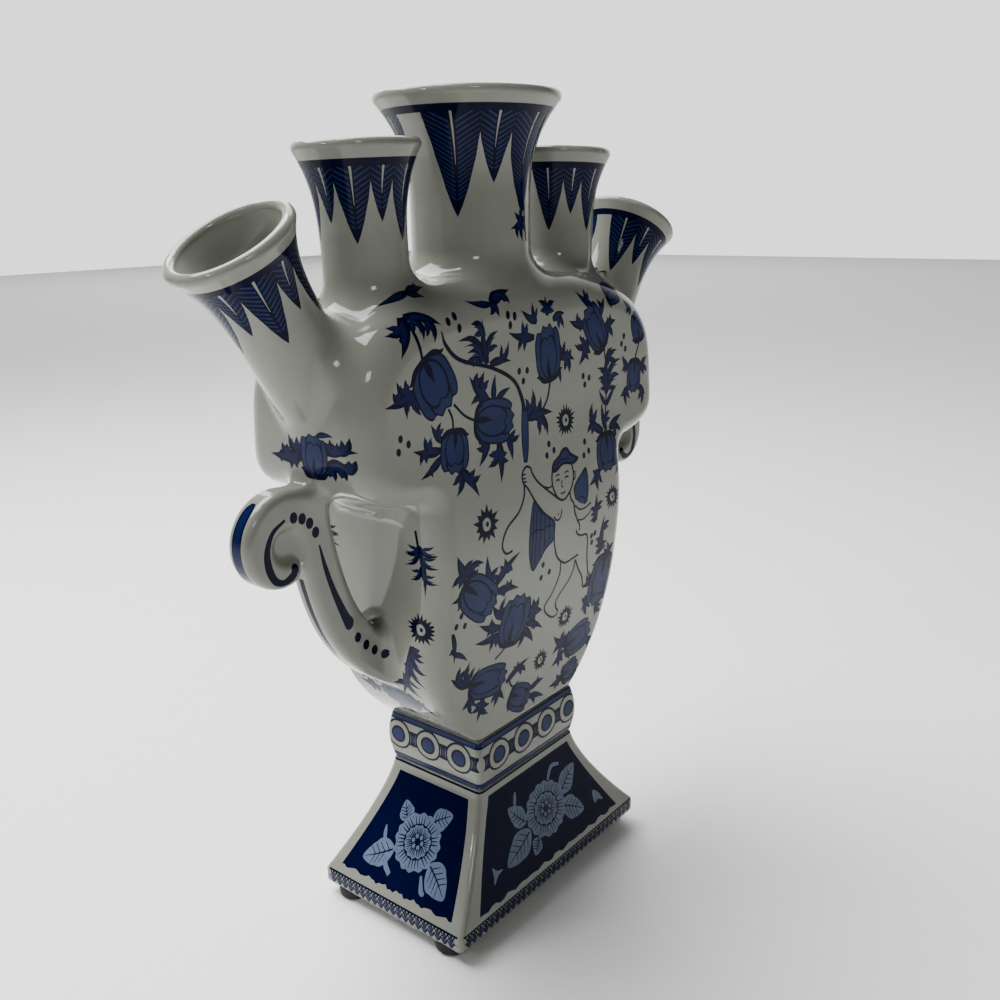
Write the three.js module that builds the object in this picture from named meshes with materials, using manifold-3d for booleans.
// Flower vase of glazed porcelain with five necks, on a square foot with rubber pads.
// Millimetres. X runs along the vase, its front faces -Y and Z is up.
// The origin is on the table, under the middle of the foot.
import * as THREE from "three";
import { mergeVertices } from "three/addons/utils/BufferGeometryUtils.js";
import Module from "manifold-3d";

const wasm = await Module();
wasm.setup();

// Gap kept between pieces that are luted together.
const seam = 0.3;

// Rubber pads near the corners of the foot.
const padRadius = 5.7;
const padHeight = 4;
const padEdge = 0.6;
const padInsetX = 5.9;
const padInsetY = 9;

// Foot: a hollow flared plinth, open underneath.
const footHalfWidth = 51.7;
const footHalfDepth = 31.9;
const footHeight = 42.3;
const plinthHeight = 5;
const footFlarePower = 1.38;
const footCorner = 1.6;
const footWall = 5;
const footRimX = 13;
const footRimY = 16;
const footMouthCorner = 4;

// Collar: a bulged rectangular band between foot and body.
const collarHalfWidth = 26.7;
const collarHalfDepth = 20.1;
const collarHeight = 17.8;
const collarBulge = 1.3;
const collarCorner = 2;
const collarWall = 5;

// Lower body, which swells from the collar to the belly and stops under the ledge.
const bellyHalfWidth = 50.4;
const bellyHalfDepth = 28.2;
const bellyHeight = 86;
const bellyWideHeight = 47;
const bellyDeepHeight = 68;
const bellyPower = 2.5;
const bellyCorner = 8;
const bellyDepthLead = 0.35;

// Lobe, the wide upper body that carries the necks.
const lobeHalfWidth = 75.2;
const lobeHalfDepth = 25.5;
const lobeHeight = 62.5;
const lobeWideHeight = 23;
const lobeCorner = 10;
const lobeUnderPower = 4.1;
const lobeShoulderPower = 2.9;
const ledgeCove = 3.5;
const shoulderDrop = 12;
const shoulderInset = 13;

// Walls of the hollow body.
const bodyWall = 5;
const neckWall = 3.7;

// Middle neck.
const middleNeckRadius = 18.9;
const middleRimRadius = 28.9;
const middleNeckHeight = 53.5;
const middleFlare = 30;

// Pair of upright necks beside the middle one, set in from the lobe's ends.
const innerNeckRadius = 12.4;
const innerRimRadius = 17.9;
const innerNeckHeight = 38.6;
const innerNeckInset = 29.2;
const innerNeckLean = 2.2;
const innerFlare = 26;

// Pair of slanted necks on the lobe's upper corners. The root is a point on the neck's axis
// inside the lobe, and the length runs from there to the lip.
const outerNeckRadius = 12.4;
const outerRimRadius = 18.2;
const outerNeckLength = 50.3;
const outerRootInset = 8.3;
const outerRootDrop = 28.5;
const outerNeckTilt = 31.5;
const outerFlare = 26;

// Every neck flares by the same law and ends in the same rounded lip.
const flarePower = 2.7;
const lipRadius = 2.5;

// Scroll handles: a flat strap that curls beside the lobe and runs down to the belly.
const strapHalfDepth = 4.7;
const strapTipHalfWidth = 3.7;
const strapFootHalfWidth = 7;
const strapChamfer = 2;
const strapSwellPower = 0.8;
const curlReach = 10.1;
const curlDrop = 5.3;
const curlTipRadius = 7.8;
const curlTopRadius = 10.8;
const curlTipAngle = -82;
const curlEndAngle = -350;
const stemDrop = 53.5;
const stemBury = 3;
const stemUpperPull = 24;
const stemLowerPull = 22;
const stemLandingAngle = -32;
const curlRecess = 2.4;

// Heights of the stacked pieces.
const footBottom = padHeight + seam;
const footTop = footBottom + footHeight;
const collarBottom = footTop + seam;
const collarTop = collarBottom + collarHeight;
const bodyBottom = collarTop + seam;
const ledgeLevel = bodyBottom + bellyHeight;
const lobeTop = ledgeLevel + lobeHeight;

// Facets.
const cornerSteps = 5;
const footFlareSteps = 7;
const collarSteps = 6;
const lowerRings = 12;
const coveSteps = 3;
const lobeRings = 18;
const neckSegments = 32;
const neckFlareSteps = 7;
const lipSteps = 5;
const curlSteps = 22;
const stemSteps = 12;

// Cutters run past what they cut by this much, and no corner gets sharper than the next value.
const overcut = 1;
const leastCorner = 0.5;

const porcelain = { color: 0xd9dcda, roughness: 0.18, metalness: 0 };
const cobalt = { color: 0x2b3a63, roughness: 0.2, metalness: 0 };
const rubber = { color: 0x17181a, roughness: 0.8, metalness: 0 };

const radians = THREE.MathUtils.degToRad;

// A closed geometry as a solid that can be cut and joined.
function toSolid(geometry) {
  const bare = geometry.clone();
  bare.deleteAttribute("normal");
  bare.deleteAttribute("uv");
  const merged = mergeVertices(bare, 1e-4);
  const mesh = new wasm.Mesh({
    numProp: 3,
    vertProperties: new Float32Array(merged.attributes.position.array),
    triVerts: new Uint32Array(merged.index.array),
  });
  return new wasm.Manifold(mesh);
}

// A solid as a geometry again.
function toGeometry(solid) {
  const mesh = solid.getMesh();
  const geometry = new THREE.BufferGeometry();
  geometry.setAttribute("position", new THREE.BufferAttribute(mesh.vertProperties, 3));
  geometry.setIndex(new THREE.BufferAttribute(mesh.triVerts, 1));
  return geometry;
}

// A solid as a mesh whose flat faces are shaded flat.
function piece(name, solid, finish) {
  const geometry = toGeometry(solid);
  geometry.computeVertexNormals();
  const mesh = new THREE.Mesh(geometry, new THREE.MeshStandardMaterial({ ...finish, flatShading: true }));
  mesh.name = name;
  return mesh;
}

// A skin through rings of points, all with as many points, closed by a fan at each end.
function loft(rings) {
  const count = rings[0].length;
  const positions = rings.flat().flatMap((point) => [point.x, point.y, point.z]);
  const faces = [];
  for (let ring = 0; ring + 1 < rings.length; ring += 1) {
    for (let i = 0; i < count; i += 1) {
      const a = ring * count + i;
      const b = ring * count + ((i + 1) % count);
      faces.push(a, b, b + count, a, b + count, a + count);
    }
  }
  const last = (rings.length - 1) * count;
  for (let i = 1; i + 1 < count; i += 1) {
    faces.push(0, i + 1, i, last, last + i, last + i + 1);
  }
  const geometry = new THREE.BufferGeometry();
  geometry.setAttribute("position", new THREE.Float32BufferAttribute(positions, 3));
  geometry.setIndex(faces);
  return geometry;
}

// A level rectangle with round corners, as a ring of points at one height.
function levelRing(halfWidth, halfDepth, corner, height) {
  const round = Math.min(corner, halfWidth * 0.95, halfDepth * 0.95);
  const points = [];
  for (let quarter = 0; quarter < 4; quarter += 1) {
    const sideX = quarter === 0 || quarter === 3 ? 1 : -1;
    const sideY = quarter < 2 ? 1 : -1;
    for (let step = 0; step <= cornerSteps; step += 1) {
      const angle = (quarter + step / cornerSteps) * (Math.PI / 2);
      const x = sideX * (halfWidth - round) + round * Math.cos(angle);
      const y = sideY * (halfDepth - round) + round * Math.sin(angle);
      points.push(new THREE.Vector3(x, y, height));
    }
  }
  return points;
}

// A straight prism on a rounded rectangle.
function block(halfWidth, halfDepth, corner, low, high) {
  const rings = [low, high].map((height) => levelRing(halfWidth, halfDepth, corner, height));
  return toSolid(loft(rings));
}

// Foot.

function footRings(inset, low, high) {
  const plinthTop = footBottom + plinthHeight;
  const levels = [low, Math.max(plinthTop, low + seam)];
  for (let i = 1; i <= footFlareSteps; i += 1) {
    levels.push(levels[1] + ((high - levels[1]) * i) / footFlareSteps);
  }
  return levels.map((height) => {
    const rise = Math.max(0, (height - plinthTop) / (footTop - plinthTop));
    const spread = Math.pow(Math.max(0, 1 - rise), footFlarePower);
    const halfWidth = collarHalfWidth + (footHalfWidth - collarHalfWidth) * spread - inset;
    const halfDepth = collarHalfDepth + (footHalfDepth - collarHalfDepth) * spread - inset;
    return levelRing(halfWidth, halfDepth, Math.max(leastCorner, footCorner - inset), height);
  });
}

function makeFoot() {
  const outer = toSolid(loft(footRings(0, footBottom, footTop)));
  const hollow = toSolid(loft(footRings(footWall, footBottom + footWall, footTop + overcut)));
  const mouth = block(
    footHalfWidth - footRimX, footHalfDepth - footRimY, footMouthCorner,
    footBottom - overcut, footBottom + footWall + overcut,
  );
  return piece("foot", outer.subtract(hollow.add(mouth)), cobalt);
}

// Collar.

function makeCollar() {
  const rings = [];
  for (let i = 0; i <= collarSteps; i += 1) {
    const rise = i / collarSteps;
    const bulge = collarBulge * Math.sin(Math.PI * rise);
    const height = collarBottom + collarHeight * rise;
    rings.push(levelRing(collarHalfWidth + bulge, collarHalfDepth + bulge, collarCorner, height));
  }
  const outer = toSolid(loft(rings));
  const inside = block(
    collarHalfWidth - collarWall, collarHalfDepth - collarWall, leastCorner,
    collarBottom - overcut, collarTop + overcut,
  );
  return piece("collar", outer.subtract(inside), porcelain);
}

// Body.

// Half the body's depth at a height, before the shoulder rounds it.
function depthAt(height) {
  const deep = bodyBottom + bellyDeepHeight;
  const wide = ledgeLevel + lobeWideHeight;
  if (height < deep) {
    const rise = Math.max(0, (height - bodyBottom) / (deep - bodyBottom));
    const ease = bellyDepthLead * rise + (1 - bellyDepthLead) * Math.sin((rise * Math.PI) / 2) ** 2;
    return collarHalfDepth + (bellyHalfDepth - collarHalfDepth) * ease;
  }
  const rise = Math.min(1, (height - deep) / (wide - deep));
  return bellyHalfDepth + (lobeHalfDepth - bellyHalfDepth) * rise * rise * (3 - 2 * rise);
}

// Rings of the body with its surface moved inwards by an inset.
function bodyRings(inset) {
  const low = bodyBottom + inset;
  const ledge = ledgeLevel + inset;
  const top = lobeTop - inset;
  const wide = ledgeLevel + lobeWideHeight;
  const beltHalfWidth = bellyHalfWidth - inset;
  const lobeHalf = lobeHalfWidth - inset;
  const rings = [];
  const add = (halfWidth, halfDepth, corner, height) => {
    rings.push(levelRing(halfWidth, halfDepth, Math.max(leastCorner, corner - inset), height));
  };
  const cove = ledge - ledgeCove;
  for (let i = 0; i <= lowerRings; i += 1) {
    const height = low + ((cove - low) * i) / lowerRings;
    const rise = Math.min(1, (height - low) / (bodyBottom + bellyWideHeight - low));
    const swell = 1 - Math.pow(1 - rise, bellyPower);
    const halfWidth = collarHalfWidth - inset + (bellyHalfWidth - collarHalfWidth) * swell;
    const corner = collarCorner + (bellyCorner - collarCorner) * swell;
    add(halfWidth, depthAt(height) - inset, corner, height);
  }
  for (let i = 1; i < coveSteps; i += 1) {
    const turn = (Math.PI * i) / (2 * coveSteps);
    const halfWidth = beltHalfWidth + ledgeCove * (1 - Math.cos(turn));
    const height = cove + ledgeCove * Math.sin(turn);
    add(halfWidth, depthAt(height) - inset, bellyCorner, height);
  }
  for (let i = 0; i <= lobeRings; i += 1) {
    const turn = -90 + (180 * i) / lobeRings;
    const power = turn < 0 ? lobeUnderPower : lobeShoulderPower;
    const reach = turn < 0 ? wide - ledge : top - wide;
    const sine = Math.sin(radians(turn));
    const height = wide + reach * Math.sign(sine) * Math.pow(Math.abs(sine), 2 / power);
    const halfWidth = lobeHalf * Math.pow(Math.max(0, Math.cos(radians(turn))), 2 / power);
    if (turn < 0 && halfWidth < beltHalfWidth + ledgeCove) continue;
    if (turn > 0 && halfWidth < middleNeckRadius) continue;
    const past = Math.min(1, Math.max(0, (height - (top - shoulderDrop)) / shoulderDrop));
    const shoulder = shoulderInset * (1 - Math.sqrt(1 - past * past));
    add(halfWidth, depthAt(height) - inset - shoulder, lobeCorner, height);
  }
  return rings;
}

// Necks.

// A turned neck along its own Z axis, with its lip at the top, open at both ends.
function neckSolid(radius, rimRadius, length, below, flare) {
  const lip = length - lipRadius;
  const outline = [new THREE.Vector2(radius - neckWall, -below), new THREE.Vector2(radius, -below)];
  const inner = [];
  for (let i = 0; i <= neckFlareSteps; i += 1) {
    const drop = flare * (1 - i / neckFlareSteps);
    const open = Math.pow(1 - drop / flare, flarePower);
    outline.push(new THREE.Vector2(radius + (rimRadius - radius) * open, lip - drop));
    const bore = radius - neckWall;
    inner.push(new THREE.Vector2(bore + (rimRadius - 2 * lipRadius - bore) * open, lip - drop));
  }
  for (let i = 1; i < lipSteps; i += 1) {
    const turn = (Math.PI * i) / lipSteps;
    const across = rimRadius - lipRadius + lipRadius * Math.cos(turn);
    outline.push(new THREE.Vector2(across, lip + lipRadius * Math.sin(turn)));
  }
  outline.push(...inner.reverse());
  outline.push(outline[0].clone());
  return toSolid(turned(outline));
}

// A turned solid about Z.
function turned(outline) {
  return new THREE.LatheGeometry(outline, neckSegments).rotateX(Math.PI / 2);
}

// A round bar along its own Z axis, for a bore.
function bar(radius, low, high) {
  const outline = [
    new THREE.Vector2(0, low),
    new THREE.Vector2(radius, low),
    new THREE.Vector2(radius, high),
    new THREE.Vector2(0, high),
  ];
  return toSolid(turned(outline));
}

// Where a neck's axis starts and how it leans: x, z and the tilt towards +X in degrees.
function placement(x, z, tilt) {
  const turn = new THREE.Matrix4().makeRotationY(radians(tilt));
  return turn.setPosition(x, 0, z);
}

function place(solid, matrix) {
  return solid.transform(matrix.elements);
}

const neckList = [
  {
    name: "neck_middle", radius: middleNeckRadius, rimRadius: middleRimRadius, length: middleNeckHeight,
    flare: middleFlare, below: shoulderDrop, seat: placement(0, lobeTop, 0),
  },
];
for (const [side, sign] of [["left", -1], ["right", 1]]) {
  neckList.push({
    name: `neck_inner_${side}`, radius: innerNeckRadius, rimRadius: innerRimRadius, length: innerNeckHeight,
    flare: innerFlare, below: shoulderDrop,
    seat: placement(sign * (lobeHalfWidth - innerNeckInset), lobeTop, sign * innerNeckLean),
  });
  neckList.push({
    name: `neck_outer_${side}`, radius: outerNeckRadius, rimRadius: outerRimRadius, length: outerNeckLength,
    flare: outerFlare, below: outerNeckRadius / 2,
    seat: placement(sign * (lobeHalfWidth - outerRootInset), lobeTop - outerRootDrop, sign * outerNeckTilt),
  });
}

// Handles.

// Middle line of the left strap in XZ, from the tip of the curl to the belly.
function strapLine() {
  const centre = new THREE.Vector2(-lobeHalfWidth - curlReach, ledgeLevel - curlDrop);
  const points = [];
  for (let i = 0; i <= curlSteps; i += 1) {
    const turn = radians(curlTipAngle + ((curlEndAngle - curlTipAngle) * i) / curlSteps);
    const reach = curlTipRadius + ((curlTopRadius - curlTipRadius) * i) / curlSteps;
    points.push(new THREE.Vector2(centre.x + reach * Math.cos(turn), centre.y + reach * Math.sin(turn)));
  }
  const start = points.at(-1);
  const leave = radians(curlEndAngle);
  const landing = radians(stemLandingAngle);
  const end = new THREE.Vector2(-bellyHalfWidth + stemBury, ledgeLevel - stemDrop);
  const stem = new THREE.CubicBezierCurve(
    start,
    new THREE.Vector2(start.x + stemUpperPull * Math.sin(leave), start.y - stemUpperPull * Math.cos(leave)),
    new THREE.Vector2(end.x - stemLowerPull * Math.cos(landing), end.y - stemLowerPull * Math.sin(landing)),
    end,
  );
  points.push(...stem.getPoints(stemSteps).slice(1));
  return { centre, points };
}

// A flat chamfered strap along the line, in the plane y = 0.
function strapSolid(points) {
  const last = points.length - 1;
  const rings = points.map((point, i) => {
    const ahead = points[Math.min(last, i + 1)].clone().sub(points[Math.max(0, i - 1)]).normalize();
    const half = strapTipHalfWidth + (strapFootHalfWidth - strapTipHalfWidth) * Math.pow(i / last, strapSwellPower);
    const section = [
      [half, strapHalfDepth - strapChamfer], [half - strapChamfer, strapHalfDepth],
      [strapChamfer - half, strapHalfDepth], [-half, strapHalfDepth - strapChamfer],
      [-half, strapChamfer - strapHalfDepth], [strapChamfer - half, -strapHalfDepth],
      [half - strapChamfer, -strapHalfDepth], [half, strapChamfer - strapHalfDepth],
    ];
    return section.map(([side, depth]) => (
      new THREE.Vector3(point.x + ahead.y * side, depth, point.y - ahead.x * side)
    ));
  });
  return toSolid(loft(rings));
}

function handleSolid(sign) {
  const line = strapLine();
  const tip = bar(strapTipHalfWidth, -strapHalfDepth, strapHalfDepth).rotate([90, 0, 0]);
  const web = bar(curlTipRadius, curlRecess - strapHalfDepth, strapHalfDepth - curlRecess).rotate([90, 0, 0]);
  const left = strapSolid(line.points)
    .add(tip.translate([line.points[0].x, 0, line.points[0].y]))
    .add(web.translate([line.centre.x, 0, line.centre.y]));
  return sign < 0 ? left : left.mirror([1, 0, 0]);
}

// Pads.

function padSolid() {
  const outline = [
    new THREE.Vector2(0, 0),
    new THREE.Vector2(padRadius - padEdge, 0),
    new THREE.Vector2(padRadius, padEdge),
    new THREE.Vector2(padRadius, padHeight),
    new THREE.Vector2(0, padHeight),
  ];
  return toSolid(turned(outline));
}

// Assembly.

const vase = new THREE.Group();
vase.name = "five_neck_vase";

const bodyOuter = toSolid(loft(bodyRings(0)));
const chamber = toSolid(loft(bodyRings(bodyWall)));
const bodyWithSeam = toSolid(loft(bodyRings(-seam)));

let body = bodyOuter.subtract(chamber);
for (const neck of neckList) {
  const whole = neckSolid(neck.radius, neck.rimRadius, neck.length, neck.below, neck.flare);
  const bore = bar(neck.radius - neckWall, -neck.below - bodyWall, neck.length);
  body = body.subtract(place(bore, neck.seat));
  vase.add(piece(neck.name, place(whole, neck.seat).subtract(bodyWithSeam), porcelain));
}
vase.add(piece("vase_body", body, porcelain));

for (const [side, sign] of [["left", -1], ["right", 1]]) {
  vase.add(piece(`handle_${side}`, handleSolid(sign).subtract(bodyWithSeam), porcelain));
}

vase.add(makeCollar());
vase.add(makeFoot());

for (const [end, signX] of [["left", -1], ["right", 1]]) {
  for (const [face, signY] of [["front", -1], ["back", 1]]) {
    const pad = piece(`foot_pad_${face}_${end}`, padSolid(), rubber);
    pad.position.set(signX * (footHalfWidth - padInsetX), signY * (footHalfDepth - padInsetY), 0);
    vase.add(pad);
  }
}

export default vase;
